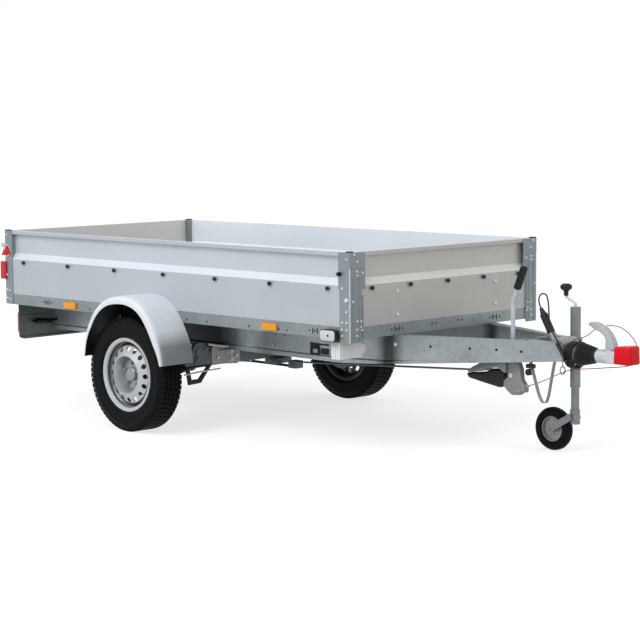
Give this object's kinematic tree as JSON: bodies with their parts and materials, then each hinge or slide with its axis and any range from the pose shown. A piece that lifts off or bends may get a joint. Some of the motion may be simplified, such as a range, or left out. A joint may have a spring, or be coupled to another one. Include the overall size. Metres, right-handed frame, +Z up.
{
  "type": "utility trailer",
  "caption": "Single-axle open box utility trailer with aluminium walls, hinged tailgate, plastic mudguards, braked ball coupling and jockey wheel.",
  "frame": {"origin": "on the floor under the centre of the overall box", "axes": "+X forward towards the coupling, +Y left, +Z up"},
  "size_m": [3.7244, 1.704, 0.941],
  "materials": {
    "galvanised": "satin",
    "anodised_aluminium": "satin",
    "plywood": "satin",
    "guard_plastic": "satin",
    "cast_casing": "matte",
    "silver_paint": "satin",
    "tyre_rubber": "matte",
    "black_rubber": "matte",
    "black_plastic": "satin",
    "red_plastic": "gloss",
    "red_lens": "gloss",
    "amber_lens": "gloss",
    "clear_lens": "gloss",
    "grey_plastic": "satin",
    "strap_webbing": "matte",
    "brake_cable_sheath": "matte"
  },
  "bodies": {
    "chassis": {"axle_tube": "galvanised", "brake_cables": "brake_cable_sheath", "brake_rod": "galvanised", "breakaway_cable": "red_plastic", "cable_coil": "black_rubber", "chassis_legs": "galvanised", "coupling_cover": "red_plastic", "coupling_handle": "silver_paint", "coupling_head": "galvanised", "crank_knob": "black_plastic", "end_rails": "galvanised", "floor_bearers": "galvanised", "floor_panel": "plywood", "front_lamp_bases": "black_plastic", "front_lamps": "clear_lens", "front_posts": "anodised_aluminium", "gaiter": "black_rubber", "guide_ring": "galvanised", "handbrake_grip": "black_rubber", "handbrake_lever": "galvanised", "hanging_strap": "strap_webbing", "jockey_crank": "galvanised", "jockey_mast": "galvanised", "latch_cams": "red_plastic", "latch_handles": "black_plastic", "main_cable": "black_rubber", "marker_lamps": "red_lens", "mudguard_left": "guard_plastic", "mudguard_right": "guard_plastic", "overrun_housing": "galvanised", "plug": "black_plastic", "post_caps": "black_plastic", "rail_hinges": "galvanised", "rear_lamps": "red_lens", "rear_plate": "galvanised", "rear_posts": "anodised_aluminium", "reversing_lever": "cast_casing", "side_rails": "galvanised", "side_reflectors": "amber_lens", "spring_housing": "black_plastic", "swing_arms": "galvanised", "tarp_knobs": "black_plastic", "wall_front": "anodised_aluminium", "wall_left": "anodised_aluminium", "wall_right": "anodised_aluminium", "wheel_chock": "grey_plastic"},
    "tailgate": {"tailgate": "anodised_aluminium", "tailgate_hinges": "galvanised", "tailgate_knobs": "black_plastic"},
    "right_wheel": {"tyre_right": "tyre_rubber", "rim_right": "silver_paint", "drum_right": "cast_casing"},
    "left_wheel": {"tyre_left": "tyre_rubber", "rim_left": "silver_paint", "drum_left": "cast_casing"},
    "jockey_slide": {"jockey_inner_tube": "galvanised"},
    "jockey_fork": {"jockey_fork": "galvanised"},
    "jockey_wheel": {"jockey_tyre": "tyre_rubber", "jockey_rim": "galvanised"}
  },
  "joints": [
    {"name": "right_wheel_spin", "type": "hinge", "parent": "chassis", "child": "right_wheel", "pos_m": [-0.604, -0.76, 0.282], "axis": [0, 1, 0], "continuous": true},
    {"name": "left_wheel_spin", "type": "hinge", "parent": "chassis", "child": "left_wheel", "pos_m": [-0.604, 0.76, 0.282], "axis": [0, 1, 0], "continuous": true},
    {"name": "tailgate_hinge", "type": "hinge", "parent": "chassis", "child": "tailgate", "pos_m": [-1.833, 0, 0.606], "axis": [0, -1, 0], "range_deg": [0, 180]},
    {"name": "jockey_slide", "type": "slide", "parent": "chassis", "child": "jockey_slide", "axis": [0, 0, 1], "range_m": [-0.06, 0.098]},
    {"name": "jockey_swivel", "type": "hinge", "parent": "jockey_slide", "child": "jockey_fork", "pos_m": [1.384, 0.18971, 0.171], "axis": [0, 0, 1], "continuous": true},
    {"name": "jockey_wheel_spin", "type": "hinge", "parent": "jockey_fork", "child": "jockey_wheel", "pos_m": [1.262, 0.18971, 0.1], "axis": [0, 1, 0], "continuous": true}
  ]
}
